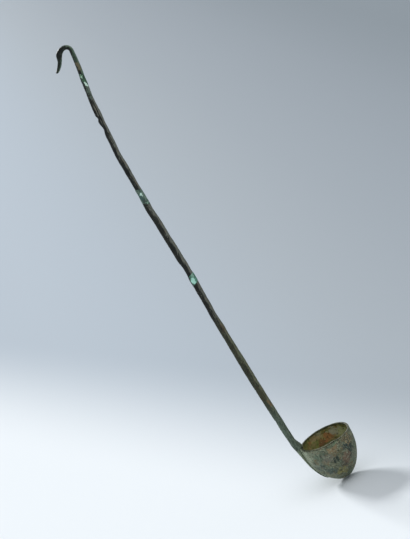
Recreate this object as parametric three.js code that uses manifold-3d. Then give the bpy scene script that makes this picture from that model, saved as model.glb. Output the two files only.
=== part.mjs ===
// An ancient bronze dipping ladle: a deep round bowl on a long upright handle whose top curls over
// into a hook that ends in a water bird's head. The handle broke long ago and was mended in three
// places, so it is four bronze lengths with a resin fill and a hidden steel pin at each break.
// Its foot is a tongue that lies on the outside of the bowl in a thin bed of solder.
// Units are millimetres and +Z is up, along the axis of the bowl. The handle stands on the -X side
// of the bowl. The origin is the point under the top of the hook where the ladle hangs.

import * as THREE from 'three';
import { mergeVertices } from 'three/addons/utils/BufferGeometryUtils.js';
import Module from 'manifold-3d';

const wasm = await Module();
wasm.setup();

// Bowl
const BOWL_RADIUS = 25.5;          // outside, at the rim
const BOWL_DEPTH = 43.6;           // outside, from the rim to the lowest point
const BOWL_WALL = 1.5;
const LIP_WIDTH = 2.2;             // the wall thickens inward at the rim
const LIP_HEIGHT = 4;              // depth over which the lip thins to the wall
const LIP_ROUNDING = 0.5;
const BOWL_BELLY = 0.4;            // how far the middle of the bowl swells towards the handle

// Solder between the bowl and the tongue
const SOLDER_THICKNESS = 0.5;
const SOLDER_CLEARANCE = 0.15;     // on each side of the solder
const SOLDER_MARGIN = 1.3;         // how far the solder shows round the tongue
const RIM_CLEARANCE = 0.3;         // between the foot of the handle and the rim that it passes

// Tongue at the foot of the handle
const TONGUE_ANGLE = 57;           // how far round the bowl's side the tip lies, in degrees from the rim
const TONGUE_ROOT_THICKNESS = 4.6; // at the rim, where it grows out of the foot
const TONGUE_ROOT_ANGLE = 20;      // over which the root thins out, in degrees from the rim
const TONGUE_THICKNESS = 2.3;      // below the root
const TONGUE_TIP_THICKNESS = 0.9;
const TONGUE_WIDTH = 7.6;          // at the rim
const TONGUE_TIP_WIDTH = 3.4;

// Lengths along the handle, from the rim up to the tip of the bill
const LOWER_SHAFT_LENGTH = 185.5;
const LOWER_FILL_LENGTH = 9.5;
const MIDDLE_SHAFT_LENGTH = 77.5;
const MIDDLE_FILL_LENGTH = 15;
const UPPER_SHAFT_LENGTH = 105.5;
const UPPER_FILL_LENGTH = 11;
const STEM_LENGTH = 22.5;
const NECK_BEND_RADIUS = 4.8;      // to the middle of the bar
const HEAD_BEND_RADIUS = 8.5;
const BILL_LENGTH = 15;

// How far the handle leans away from the bowl, in degrees from +Z, where one length meets the next
const LEAN_AT_RIM = 6;
const LEAN_BELOW_LOWER_FILL = 2.4;
const LEAN_ABOVE_LOWER_FILL = 4.6;
const LEAN_BELOW_MIDDLE_FILL = 3.6;
const LEAN_ABOVE_MIDDLE_FILL = 3;
const LEAN_BELOW_UPPER_FILL = -4.2;
const LEAN_ABOVE_UPPER_FILL = -7.5;
const LEAN_AT_NECK = -2;
const LEAN_AT_HEAD = 95;
const LEAN_AT_BILL = 162;
const LEAN_AT_BILL_TIP = 124;

// Section of the shaft: thick is seen from the side of the ladle, wide is across it, along Y
const SHAFT_FOOT_THICK = 6.3;
const SHAFT_FULL_THICK = 7.1;
const SHAFT_WAIST_THICK = 6.1;
const SHAFT_SHOULDER_THICK = 6.9;
const SHAFT_TOP_THICK = 4.7;
const SHAFT_FOOT_WIDE = 7;
const SHAFT_FULL_WIDE = 6.4;
const SHAFT_WAIST_WIDE = 5.8;
const SHAFT_SHOULDER_WIDE = 6.3;
const SHAFT_TOP_WIDE = 4.5;
const SHAFT_FULL_HEIGHT = 80;      // where the shaft is fullest, above the rim
const WAIST_BELOW_FILL = 30;       // the worn waist under the lower fill
const SHOULDER_ABOVE_FILL = 20;    // the shaft is stout again above that fill

// Heel of the shaft, which stands over the lip of the bowl
const HEEL_REACH = 2.6;            // how far it comes in over the rim
const HEEL_HEIGHT = 10.5;
const HEEL_STRAIGHT = 1;           // height of its upright side before it slopes back to the shaft
const FOOT_SLOPE_HEIGHT = 7;       // height over which the outer side slopes in to the tongue

// Section of the hook and the bird's head
const NECK_THICK = 4;
const NECK_WIDE = 3.9;
const HEAD_THICK = 5.6;
const HEAD_WIDE = 5.4;
const BILL_ROOT_THICK = 3.7;
const BILL_ROOT_WIDE = 3.8;
const BILL_THICK = 2.6;
const BILL_WIDE = 4.6;
const BILL_TIP_ROUNDING = 2.2;

// Mends
const PIN_RADIUS = 0.8;
const PIN_CLEARANCE = 0.2;
const PIN_DEPTH = 9;               // into the bronze on each side of a fill
const FILL_SWELL = 0.25;           // how much thicker a fill is at its middle than the bronze
const BREAK_FADE = 14;             // length over which the slant of a break dies out
const LOWER_BREAK_SLANTS = [-0.5, -0.3];    // rise over run of the broken faces, foot side and hook side
const MIDDLE_BREAK_SLANTS = [0.6, 0.4];
const UPPER_BREAK_SLANTS = [0.9, 0.3];

// Old nick in the outer face of the upper shaft
const NICK_BELOW_FILL = 32;
const NICK_RADIUS = 3.2;
const NICK_DEPTH = 0.9;

// Fineness
const BOWL_SEGMENTS = 56;
const WALL_STEPS = 14;
const LIP_STEPS = 3;
const BAR_SIDES = 16;
const PIN_SIDES = 20;
const SHAFT_STEP = 9;
const TONGUE_STEPS = 10;
const HEEL_STEPS = 6;
const FILL_STEPS = 6;
const STEM_STEPS = 3;
const BEND_STEP = 10;              // degrees
const BILL_STEPS = 10;
const SQUARENESS = 0.72;           // power that turns a round section into a rounded square

const WELD = 1e-5;                 // points closer than this are one
const BILL_BLUNT = 0.3;            // size of the bill's end face as a share of its section
const SPREAD = 100;                // larger than anything that a cutting solid has to cover
const RADIANS = Math.PI / 180;

// Solids

function solidFrom(geometry) {
  const bare = geometry.clone();
  bare.deleteAttribute('normal');
  bare.deleteAttribute('uv');
  const merged = mergeVertices(bare, WELD);
  const corners = merged.index.array;
  const triangles = [];
  for (let i = 0; i < corners.length; i += 3) {
    const [a, b, c] = corners.slice(i, i + 3);
    if (a !== b && b !== c && c !== a) triangles.push(a, b, c);
  }
  return new wasm.Manifold(new wasm.Mesh({
    numProp: 3,
    vertProperties: new Float32Array(merged.attributes.position.array),
    triVerts: new Uint32Array(triangles),
  }));
}

function geometryFrom(solid) {
  const mesh = solid.getMesh();
  const geometry = new THREE.BufferGeometry();
  geometry.setAttribute('position', new THREE.BufferAttribute(mesh.vertProperties, 3));
  geometry.setIndex(new THREE.BufferAttribute(mesh.triVerts, 1));
  geometry.computeVertexNormals();
  return geometry;
}

// Bowl, a half ellipse turned about its axis and swollen a little on the handle's side

function belly(depth) {
  const share = THREE.MathUtils.clamp(depth / BOWL_DEPTH, 0, 1);
  return BOWL_BELLY * Math.sin(Math.PI * share);
}

function quarterEllipse(radius, depth, steps) {
  const points = [];
  for (let i = 0; i <= steps; i += 1) {
    const angle = (i / steps) * Math.PI / 2;
    points.push(new THREE.Vector2(radius * Math.sin(angle), -depth * Math.cos(angle)));
  }
  return points;
}

function turnedBowlShape(profile) {
  const geometry = new THREE.LatheGeometry(profile, BOWL_SEGMENTS);
  geometry.rotateX(Math.PI / 2);
  const place = geometry.attributes.position;
  for (let i = 0; i < place.count; i += 1) {
    place.setX(i, place.getX(i) - belly(-place.getZ(i)));
  }
  return geometry;
}

function bowlGeometry() {
  const outside = quarterEllipse(BOWL_RADIUS, BOWL_DEPTH, WALL_STEPS).slice(0, -1);
  const rim = [];
  for (let i = 0; i <= LIP_STEPS; i += 1) {
    const angle = (i / LIP_STEPS) * Math.PI / 2;
    const drop = LIP_ROUNDING * (1 - Math.sin(angle));
    const inset = LIP_ROUNDING * (1 - Math.cos(angle));
    rim.push(new THREE.Vector2(BOWL_RADIUS - inset, -drop));
  }
  for (let i = LIP_STEPS; i >= 0; i -= 1) {
    const angle = (i / LIP_STEPS) * Math.PI / 2;
    const drop = LIP_ROUNDING * (1 - Math.sin(angle));
    const inset = LIP_ROUNDING * (1 - Math.cos(angle));
    rim.push(new THREE.Vector2(BOWL_RADIUS - LIP_WIDTH + inset, -drop));
  }
  const inside = quarterEllipse(BOWL_RADIUS - BOWL_WALL, BOWL_DEPTH - BOWL_WALL, WALL_STEPS)
    .filter((point) => point.y < -LIP_HEIGHT)
    .reverse();
  return turnedBowlShape([...outside, ...rim, ...inside]);
}

// The bowl's outside as a filled shape, larger by grow all round and closed off at height top
function bowlBlock(grow, top) {
  const profile = quarterEllipse(BOWL_RADIUS + grow, BOWL_DEPTH + grow, WALL_STEPS);
  profile.push(new THREE.Vector2(BOWL_RADIUS + grow, top), new THREE.Vector2(0, top));
  return solidFrom(turnedBowlShape(profile));
}

// Line of the handle, a chain of arcs that starts at the rim

const spans = [
  { length: LOWER_SHAFT_LENGTH, from: LEAN_AT_RIM, to: LEAN_BELOW_LOWER_FILL },
  { length: LOWER_FILL_LENGTH, from: LEAN_BELOW_LOWER_FILL, to: LEAN_ABOVE_LOWER_FILL },
  { length: MIDDLE_SHAFT_LENGTH, from: LEAN_ABOVE_LOWER_FILL, to: LEAN_BELOW_MIDDLE_FILL },
  { length: MIDDLE_FILL_LENGTH, from: LEAN_BELOW_MIDDLE_FILL, to: LEAN_ABOVE_MIDDLE_FILL },
  { length: UPPER_SHAFT_LENGTH, from: LEAN_ABOVE_MIDDLE_FILL, to: LEAN_BELOW_UPPER_FILL },
  { length: UPPER_FILL_LENGTH, from: LEAN_BELOW_UPPER_FILL, to: LEAN_ABOVE_UPPER_FILL },
  { length: STEM_LENGTH, from: LEAN_ABOVE_UPPER_FILL, to: LEAN_AT_NECK },
  { length: bendLength(NECK_BEND_RADIUS, LEAN_AT_NECK, LEAN_AT_HEAD), from: LEAN_AT_NECK, to: LEAN_AT_HEAD },
  { length: bendLength(HEAD_BEND_RADIUS, LEAN_AT_HEAD, LEAN_AT_BILL), from: LEAN_AT_HEAD, to: LEAN_AT_BILL },
  { length: BILL_LENGTH, from: LEAN_AT_BILL, to: LEAN_AT_BILL_TIP },
];

function bendLength(radius, from, to) {
  return radius * (to - from) * RADIANS;
}

// Point and lean at a distance along one arc
function alongArc(start, span, distance) {
  const from = span.from * RADIANS;
  const turn = (span.to - span.from) * RADIANS * (distance / span.length);
  const radius = distance === 0 ? 0 : distance / turn;
  return {
    x: start.x + radius * (Math.cos(from + turn) - Math.cos(from)),
    z: start.z + radius * (Math.sin(from + turn) - Math.sin(from)),
    lean: from + turn,
  };
}

const foot = { x: -(BOWL_RADIUS + SHAFT_FOOT_THICK / 2), z: 0 };
const joints = [0];                // distance along the handle of each meeting of two spans
const starts = [foot];
for (const span of spans) {
  joints.push(joints.at(-1) + span.length);
  starts.push(alongArc(starts.at(-1), span, span.length));
}
const [
  , LOWER_FILL_START, MIDDLE_SHAFT_START, MIDDLE_FILL_START, UPPER_SHAFT_START, UPPER_FILL_START,
  STEM_START, NECK_START, HEAD_START, BILL_START, BILL_END,
] = joints;

function placeAt(distance) {
  let index = 0;
  while (index < spans.length - 1 && distance > joints[index + 1]) index += 1;
  return alongArc(starts[index], spans[index], distance - joints[index]);
}

// Sections

// Thickness and width at a distance, eased between the keys on either side of it
function sectionFrom(keys, distance) {
  let index = 0;
  while (index < keys.length - 2 && distance > keys[index + 1].at) index += 1;
  const low = keys[index];
  const high = keys[index + 1];
  const share = THREE.MathUtils.smoothstep(distance, low.at, high.at);
  return {
    thick: THREE.MathUtils.lerp(low.thick, high.thick, share),
    wide: THREE.MathUtils.lerp(low.wide, high.wide, share),
  };
}

const shaftKeys = [
  { at: 0, thick: SHAFT_FOOT_THICK, wide: SHAFT_FOOT_WIDE },
  { at: SHAFT_FULL_HEIGHT, thick: SHAFT_FULL_THICK, wide: SHAFT_FULL_WIDE },
  { at: LOWER_FILL_START - WAIST_BELOW_FILL, thick: SHAFT_WAIST_THICK, wide: SHAFT_WAIST_WIDE },
  { at: MIDDLE_SHAFT_START + SHOULDER_ABOVE_FILL, thick: SHAFT_SHOULDER_THICK, wide: SHAFT_SHOULDER_WIDE },
  { at: STEM_START, thick: SHAFT_TOP_THICK, wide: SHAFT_TOP_WIDE },
];

const headMiddle = (HEAD_START + BILL_START) / 2;
const hookKeys = [
  { at: STEM_START, thick: SHAFT_TOP_THICK, wide: SHAFT_TOP_WIDE },
  { at: (NECK_START + HEAD_START) / 2, thick: NECK_THICK, wide: NECK_WIDE },
  { at: (headMiddle + BILL_START) / 2, thick: HEAD_THICK, wide: HEAD_WIDE },
  { at: BILL_START + BILL_LENGTH / 3, thick: BILL_ROOT_THICK, wide: BILL_ROOT_WIDE },
  { at: BILL_END, thick: BILL_THICK, wide: BILL_WIDE },
];

// Bars: rings of points along the handle's line, closed at both ends

function rounded(value) {
  return Math.sign(value) * Math.abs(value) ** SQUARENESS;
}

// A ring is { x, z, lean, thick, wide, slant }, and slant tips a broken face out of square
function barGeometry(rings) {
  const geometry = new THREE.CylinderGeometry(1, 1, 1, BAR_SIDES, rings.length - 1);
  geometry.rotateY(Math.PI / BAR_SIDES);
  const place = geometry.attributes.position;
  for (let i = 0; i < place.count; i += 1) {
    const ring = rings[Math.round((place.getY(i) + 0.5) * (rings.length - 1))];
    const out = rounded(place.getX(i)) * ring.thick / 2;
    const side = rounded(place.getZ(i)) * ring.wide / 2;
    const along = out * ring.slant;
    place.setXYZ(
      i,
      ring.x - out * Math.cos(ring.lean) - along * Math.sin(ring.lean),
      side,
      ring.z - out * Math.sin(ring.lean) + along * Math.cos(ring.lean),
    );
  }
  return geometry;
}

// Rings from one distance to another, whose end rings are tipped by the two slants
function ringsBetween(from, to, slants, steps, sectionAt) {
  const fade = Math.min(BREAK_FADE, to - from);
  const rings = [];
  for (let i = 0; i <= steps; i += 1) {
    const distance = THREE.MathUtils.lerp(from, to, i / steps);
    const low = Math.max(0, 1 - (distance - from) / fade);
    const high = Math.max(0, 1 - (to - distance) / fade);
    rings.push({
      ...placeAt(distance),
      ...sectionAt(distance),
      slant: slants[0] * low + slants[1] * high,
    });
  }
  return rings;
}

function shaftRings(from, to, slants) {
  const steps = Math.ceil((to - from) / SHAFT_STEP);
  return ringsBetween(from, to, slants, steps, (distance) => sectionFrom(shaftKeys, distance));
}

// Tongue: rings down the outside of the bowl, from the tip up to the rim

// A ring of the given size whose middle lies reach outside the wall, at an angle round the bowl's side
function tongueRing(angle, reach, thick, wide) {
  const depth = BOWL_DEPTH * Math.sin(angle);
  const lean = -Math.atan2(BOWL_RADIUS * Math.sin(angle), BOWL_DEPTH * Math.cos(angle));
  return {
    x: -(BOWL_RADIUS * Math.cos(angle) + belly(depth) + reach * Math.cos(lean)),
    z: -depth + reach * Math.sin(lean),
    lean,
    thick,
    wide,
    slant: 0,
  };
}

const tongueTip = TONGUE_ANGLE * RADIANS;

function tongueThick(angle) {
  const share = Math.sqrt(1 - angle / tongueTip);
  const root = Math.max(0, 1 - angle / (TONGUE_ROOT_ANGLE * RADIANS)) ** 2;
  const thick = THREE.MathUtils.lerp(TONGUE_TIP_THICKNESS, TONGUE_THICKNESS, share);
  return thick + root * (TONGUE_ROOT_THICKNESS - TONGUE_THICKNESS);
}

// The tongue narrows to its tip, and grow widens and lengthens it for the outline of the solder
function tongueRings(grow, reachAt, thickAt) {
  const wallPerRadian = Math.hypot(BOWL_RADIUS * Math.sin(tongueTip), BOWL_DEPTH * Math.cos(tongueTip));
  const end = tongueTip + grow / wallPerRadian;
  const rings = [];
  for (let i = 0; i <= TONGUE_STEPS; i += 1) {
    const share = i / TONGUE_STEPS;
    const angle = THREE.MathUtils.lerp(end, 0, share);
    const wide = THREE.MathUtils.lerp(TONGUE_TIP_WIDTH, TONGUE_WIDTH, Math.sqrt(share)) + 2 * grow;
    rings.push(tongueRing(angle, reachAt(angle), thickAt(angle), wide));
  }
  return rings;
}

// Distance from the bowl's wall to the underside of the tongue
const seat = SOLDER_THICKNESS + 2 * SOLDER_CLEARANCE;

// Foot: the inner side comes in over the lip, and the outer side slopes in to the tongue

function footRing(distance) {
  const place = placeAt(distance);
  const { thick, wide } = sectionFrom(shaftKeys, distance);
  const inward = HEEL_REACH * (1 - THREE.MathUtils.smoothstep(distance, HEEL_STRAIGHT, HEEL_HEIGHT));
  const slope = Math.max(0, 1 - distance / FOOT_SLOPE_HEIGHT) ** 2;
  const cutBack = slope * (SHAFT_FOOT_THICK - seat - TONGUE_ROOT_THICKNESS);
  const shift = (inward + cutBack) / 2;
  return {
    x: place.x + shift * Math.cos(place.lean),
    z: place.z + shift * Math.sin(place.lean),
    lean: place.lean,
    thick: thick + inward - cutBack,
    wide,
    slant: 0,
  };
}

function footRings() {
  const rings = [];
  for (let i = 0; i < HEEL_STEPS; i += 1) {
    rings.push(footRing(THREE.MathUtils.lerp(RIM_CLEARANCE, HEEL_HEIGHT, i / HEEL_STEPS)));
  }
  return rings;
}

// Parts

const parts = new THREE.Group();
parts.name = 'ladle';

function add(name, geometry, material) {
  const mesh = new THREE.Mesh(geometry, material);
  mesh.name = name;
  parts.add(mesh);
}

function patinatedBronze(color) {
  return new THREE.MeshStandardMaterial({ color, roughness: 0.55, metalness: 0.65 });
}

function mendResin(color) {
  return new THREE.MeshStandardMaterial({ color, roughness: 0.6, metalness: 0 });
}

function pinSteel() {
  return new THREE.MeshStandardMaterial({ color: 0xb4b8bb, roughness: 0.35, metalness: 1 });
}

function soldered(color) {
  return new THREE.MeshStandardMaterial({ color, roughness: 0.7, metalness: 0.4 });
}

// A round bar through a mend, from PIN_DEPTH short of the fill to PIN_DEPTH beyond it
function pinGeometry(fillStart, fillEnd, radius, extra) {
  const middle = placeAt((fillStart + fillEnd) / 2);
  const length = fillEnd - fillStart + 2 * (PIN_DEPTH + extra);
  const geometry = new THREE.CylinderGeometry(radius, radius, length, PIN_SIDES);
  geometry.rotateX(Math.PI / 2);
  geometry.rotateY(-middle.lean);
  geometry.translate(middle.x, 0, middle.z);
  return geometry;
}

function pinHole(fillStart, fillEnd) {
  return solidFrom(pinGeometry(fillStart, fillEnd, PIN_RADIUS + PIN_CLEARANCE, PIN_CLEARANCE));
}

const lowerHole = pinHole(LOWER_FILL_START, MIDDLE_SHAFT_START);
const middleHole = pinHole(MIDDLE_FILL_START, UPPER_SHAFT_START);
const upperHole = pinHole(UPPER_FILL_START, STEM_START);

function buildLowerShaft() {
  const rings = [
    ...tongueRings(0, (angle) => seat + tongueThick(angle) / 2, tongueThick),
    ...footRings(),
    ...shaftRings(HEEL_HEIGHT, LOWER_FILL_START, [0, LOWER_BREAK_SLANTS[0]]),
  ];
  const solid = solidFrom(barGeometry(rings))
    .subtract(bowlBlock(seat, RIM_CLEARANCE))
    .subtract(lowerHole);
  add('lower_shaft', geometryFrom(solid), patinatedBronze(0x4a4f42));
}

function buildSolderBed() {
  const outline = solidFrom(barGeometry(tongueRings(SOLDER_MARGIN, () => 0, () => TONGUE_THICKNESS)));
  const solid = outline
    .intersect(bowlBlock(SOLDER_CLEARANCE + SOLDER_THICKNESS, -LIP_ROUNDING))
    .subtract(bowlBlock(SOLDER_CLEARANCE, SPREAD));
  add('solder_bed', geometryFrom(solid), soldered(0x8c9686));
}

function buildShaft(name, from, to, slants, holes, color) {
  let solid = solidFrom(barGeometry(shaftRings(from, to, slants)));
  for (const hole of holes) solid = solid.subtract(hole);
  add(name, geometryFrom(solid), patinatedBronze(color));
}

function buildFill(name, from, to, slants, hole, color) {
  const swollen = (distance) => {
    const section = sectionFrom(shaftKeys, distance);
    const swell = FILL_SWELL * Math.sin(Math.PI * (distance - from) / (to - from));
    return { thick: section.thick + swell, wide: section.wide + swell };
  };
  const rings = ringsBetween(from, to, slants, FILL_STEPS, swollen);
  const solid = solidFrom(barGeometry(rings)).subtract(hole);
  add(name, geometryFrom(solid), mendResin(color));
}

function nickCutter() {
  const place = placeAt(UPPER_FILL_START - NICK_BELOW_FILL);
  const { thick } = sectionFrom(shaftKeys, UPPER_FILL_START - NICK_BELOW_FILL);
  const out = thick / 2 + NICK_RADIUS - NICK_DEPTH;
  const geometry = new THREE.CylinderGeometry(NICK_RADIUS, NICK_RADIUS, SPREAD, PIN_SIDES);
  geometry.translate(place.x - out * Math.cos(place.lean), 0, place.z - out * Math.sin(place.lean));
  return solidFrom(geometry);
}

function hookRings() {
  const sectionAt = (distance) => sectionFrom(hookKeys, distance);
  const neckSteps = Math.ceil((LEAN_AT_HEAD - LEAN_AT_NECK) / BEND_STEP);
  const headSteps = Math.ceil((LEAN_AT_BILL - LEAN_AT_HEAD) / BEND_STEP);
  const rings = [
    ...ringsBetween(STEM_START, NECK_START, [UPPER_BREAK_SLANTS[1], 0], STEM_STEPS, sectionAt),
    ...ringsBetween(NECK_START, HEAD_START, [0, 0], neckSteps, sectionAt).slice(1),
    ...ringsBetween(HEAD_START, BILL_START, [0, 0], headSteps, sectionAt).slice(1),
  ];
  for (let i = 1; i <= BILL_STEPS; i += 1) {
    const distance = BILL_START + BILL_LENGTH * Math.sin((i / BILL_STEPS) * Math.PI / 2);
    const left = (BILL_END - distance) / BILL_TIP_ROUNDING;
    const close = left >= 1 ? 1 : Math.sqrt(1 - (1 - left) ** 2);
    const { thick, wide } = sectionAt(distance);
    const blunt = THREE.MathUtils.lerp(BILL_BLUNT, 1, close);
    rings.push({ ...placeAt(distance), thick: thick * blunt, wide: wide * blunt, slant: 0 });
  }
  return rings;
}

function buildHook() {
  const solid = solidFrom(barGeometry(hookRings())).subtract(upperHole);
  add('bird_head_hook', geometryFrom(solid), patinatedBronze(0x33372c));
}

add('bowl', geometryFrom(solidFrom(bowlGeometry())), patinatedBronze(0x5f6a4c));
buildSolderBed();
buildLowerShaft();
buildFill('lower_fill', LOWER_FILL_START, MIDDLE_SHAFT_START, LOWER_BREAK_SLANTS, lowerHole, 0x8fd8bd);
add('lower_pin', pinGeometry(LOWER_FILL_START, MIDDLE_SHAFT_START, PIN_RADIUS, 0), pinSteel());
buildShaft(
  'middle_shaft',
  MIDDLE_SHAFT_START,
  MIDDLE_FILL_START,
  [LOWER_BREAK_SLANTS[1], MIDDLE_BREAK_SLANTS[0]],
  [lowerHole, middleHole],
  0x3f413a,
);
buildFill('middle_fill', MIDDLE_FILL_START, UPPER_SHAFT_START, MIDDLE_BREAK_SLANTS, middleHole, 0x4f7a63);
add('middle_pin', pinGeometry(MIDDLE_FILL_START, UPPER_SHAFT_START, PIN_RADIUS, 0), pinSteel());
buildShaft(
  'upper_shaft',
  UPPER_SHAFT_START,
  UPPER_FILL_START,
  [MIDDLE_BREAK_SLANTS[1], UPPER_BREAK_SLANTS[0]],
  [middleHole, upperHole, nickCutter()],
  0x3a3a31,
);
buildFill('upper_fill', UPPER_FILL_START, STEM_START, UPPER_BREAK_SLANTS, upperHole, 0x52795c);
add('upper_pin', pinGeometry(UPPER_FILL_START, STEM_START, PIN_RADIUS, 0), pinSteel());
buildHook();

// The top of the bend, where the handle's line lies level
const crown = placeAt(NECK_START + bendLength(NECK_BEND_RADIUS, LEAN_AT_NECK, 90));
parts.position.set(-crown.x, 0, -(crown.z - NECK_THICK / 2));

export default parts;
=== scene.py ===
# Looks of the ancient bronze dipping ladle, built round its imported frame.
# Dimensions are the frame's own, in millimetres and degrees, and become metres as a mesh is made.
import math

import bpy
import numpy as np
from mathutils import Matrix, Vector, noise


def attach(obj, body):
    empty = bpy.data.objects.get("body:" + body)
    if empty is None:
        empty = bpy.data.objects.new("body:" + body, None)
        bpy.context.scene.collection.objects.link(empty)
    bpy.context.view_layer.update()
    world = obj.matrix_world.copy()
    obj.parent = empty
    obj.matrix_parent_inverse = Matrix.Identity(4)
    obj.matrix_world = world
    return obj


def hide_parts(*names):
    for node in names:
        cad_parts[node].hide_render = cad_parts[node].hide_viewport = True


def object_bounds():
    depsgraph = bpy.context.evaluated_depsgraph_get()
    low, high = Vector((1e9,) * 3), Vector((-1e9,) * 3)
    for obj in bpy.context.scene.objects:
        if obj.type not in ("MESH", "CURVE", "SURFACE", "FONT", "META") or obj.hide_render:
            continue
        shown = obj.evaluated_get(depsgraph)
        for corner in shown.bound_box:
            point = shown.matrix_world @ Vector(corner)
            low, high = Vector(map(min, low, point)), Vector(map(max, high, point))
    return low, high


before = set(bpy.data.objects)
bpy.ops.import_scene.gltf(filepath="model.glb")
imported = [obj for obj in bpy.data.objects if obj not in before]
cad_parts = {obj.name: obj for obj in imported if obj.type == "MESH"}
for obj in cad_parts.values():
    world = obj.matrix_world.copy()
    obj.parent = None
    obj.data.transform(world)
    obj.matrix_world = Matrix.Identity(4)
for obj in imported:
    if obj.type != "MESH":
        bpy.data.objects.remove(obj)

CAD_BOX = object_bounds()

# Bowl
BOWL_RADIUS = 25.5
BOWL_DEPTH = 43.6
BOWL_WALL = 1.5
LIP_WIDTH = 2.2
LIP_HEIGHT = 4
LIP_ROUNDING = 0.5
BOWL_BELLY = 0.4

# Solder and tongue
SOLDER_THICKNESS = 0.5
SOLDER_CLEARANCE = 0.15
SOLDER_MARGIN = 1.3
TONGUE_ANGLE = 57
TONGUE_ROOT_THICKNESS = 4.6
TONGUE_ROOT_ANGLE = 20
TONGUE_THICKNESS = 2.3
TONGUE_TIP_THICKNESS = 0.9
TONGUE_WIDTH = 7.6
TONGUE_TIP_WIDTH = 3.4
TONGUE_TIP_ROUNDING = 1.8
TONGUE_TIP_BLUNT = 0.25
SEAT = SOLDER_THICKNESS + 2 * SOLDER_CLEARANCE
SOLDER_FILLET = 0.4
SOLDER_BELOW_RIM = 0.02
SOLDER_TIP_ROUNDING = 2.6
SOLDER_SUNK = 0.22

# Hook: the radii of its two bends, the bill, and the lean of its line where the bends begin and end
NECK_BEND_RADIUS = 4.8
HEAD_BEND_RADIUS = 8.5
BILL_LENGTH = 15
LEAN_AT_NECK = -2
LEAN_AT_CROWN = 90
LEAN_AT_HEAD = 95
LEAN_AT_BILL = 162

# Sections of the handle as (thick, wide), thick being what shows from the side of the ladle
SHAFT_FOOT = (6.3, 7.0)
SHAFT_FULL = (7.1, 6.4)
SHAFT_WAIST = (6.1, 5.8)
SHAFT_SHOULDER = (6.9, 6.3)
SHAFT_TOP = (4.7, 4.5)
NECK = (4.0, 3.9)
HEAD = (5.6, 5.4)
BILL_ROOT = (3.7, 3.8)
BILL_TIP = (2.6, 4.6)
BILL_TIP_ROUNDING = 2.2
BILL_DRAWN = 0.9995  # share of the bill that is drawn, because its very tip is a point
SHAFT_FULL_HEIGHT = 80
WAIST_BELOW_FILL = 30
SHOULDER_ABOVE_FILL = 20
SQUARENESS = 0.72

# Foot: the heel comes in over the rim, and the outer side slopes in to the tongue
HEEL_REACH = 2.6
HEEL_HEIGHT = 10.5
HEEL_STRAIGHT = 1
HEEL_GAP = 0.12
HEEL_WEAR = 0.3
FOOT_SLOPE_HEIGHT = 7

# Mends
PIN_RADIUS = 0.8
PIN_CLEARANCE = 0.2
PIN_DEPTH = 9
FILL_SWELL = 0.25
BREAK_FADE = 14
LOWER_BREAK_SLANTS = (-0.5, -0.3)
MIDDLE_BREAK_SLANTS = (0.6, 0.4)
UPPER_BREAK_SLANTS = (0.9, 0.3)
NICK_BELOW_FILL = 32
NICK_RADIUS = 3.2
NICK_DEPTH = 0.9

# Fineness of the meshes
BAR_SIDES = 56
BAR_STEP = 0.55
FILL_STEP = 0.33
STEM_STEP = 0.4
BEND_STEP = 0.22
BILL_STEPS = 90
TONGUE_STEPS = 90
FOOT_STEPS = 25
BOWL_SEGMENTS = 288
BOWL_STEPS = 120
LIP_STEPS = 6
SOLDER_STEPS = 90
SOLDER_COLUMNS = 40

# How far the dressed pieces stay inside the box of the solids
BOX_MARGIN = 0.005
LOWEST = np.min(CAD_BOX, axis=0) * 1000 + BOX_MARGIN
HIGHEST = np.max(CAD_BOX, axis=0) * 1000 - BOX_MARGIN


def bend_length(radius, low, high):
    return radius * math.radians(high - low)


# Line of the handle from the rim up: each stretch's length and the lean at its end, in degrees from
# upright, above 0 away from the bowl
LEAN_AT_RIM = 6
STRETCHES = [
    (185.5, 2.4),  # lower shaft
    (9.5, 4.6),  # lower fill
    (77.5, 3.6),  # middle shaft
    (15, 3),  # middle fill
    (105.5, -4.2),  # upper shaft
    (11, -7.5),  # upper fill
    (22.5, LEAN_AT_NECK),  # stem
    (bend_length(NECK_BEND_RADIUS, LEAN_AT_NECK, LEAN_AT_HEAD), LEAN_AT_HEAD),
    (bend_length(HEAD_BEND_RADIUS, LEAN_AT_HEAD, LEAN_AT_BILL), LEAN_AT_BILL),
    (BILL_LENGTH, 124),
]
LEANS = [LEAN_AT_RIM] + [lean for _, lean in STRETCHES]
SPANS = [(length, low, high) for (length, high), low in zip(STRETCHES, LEANS)]


def along_arc(start, span, distance):
    length, low, high = span
    begin = math.radians(low)
    turn = math.radians(high - low) * distance / length
    radius = distance / turn if distance else 0
    return (
        start[0] + radius * (math.cos(begin + turn) - math.cos(begin)),
        start[1] + radius * (math.sin(begin + turn) - math.sin(begin)),
        begin + turn,
    )


JOINTS = [0]
STARTS = [(-(BOWL_RADIUS + SHAFT_FOOT[0] / 2), 0, 0)]
for arc in SPANS:
    JOINTS.append(JOINTS[-1] + arc[0])
    STARTS.append(along_arc(STARTS[-1], arc, arc[0]))
(LOWER_FILL_START, MIDDLE_SHAFT_START, MIDDLE_FILL_START, UPPER_SHAFT_START, UPPER_FILL_START,
 STEM_START, NECK_START, HEAD_START, BILL_START, BILL_END) = JOINTS[1:]


def place_at(distance):
    index = 0
    while index < len(SPANS) - 1 and distance > JOINTS[index + 1]:
        index += 1
    return along_arc(STARTS[index], SPANS[index], distance - JOINTS[index])


# The frame's origin is under the top of the hook, while the pieces are made from the middle of the rim
CROWN = place_at(NECK_START + bend_length(NECK_BEND_RADIUS, LEAN_AT_NECK, LEAN_AT_CROWN))
TO_ROW = np.array([-CROWN[0], 0, -(CROWN[1] - NECK[0] / 2)])


def ease(value, low, high):
    """0 below low and 1 above high, with a smooth change between them."""
    share = float(np.clip((value - low) / (high - low), 0, 1))
    return share * share * (3 - 2 * share)


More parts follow.
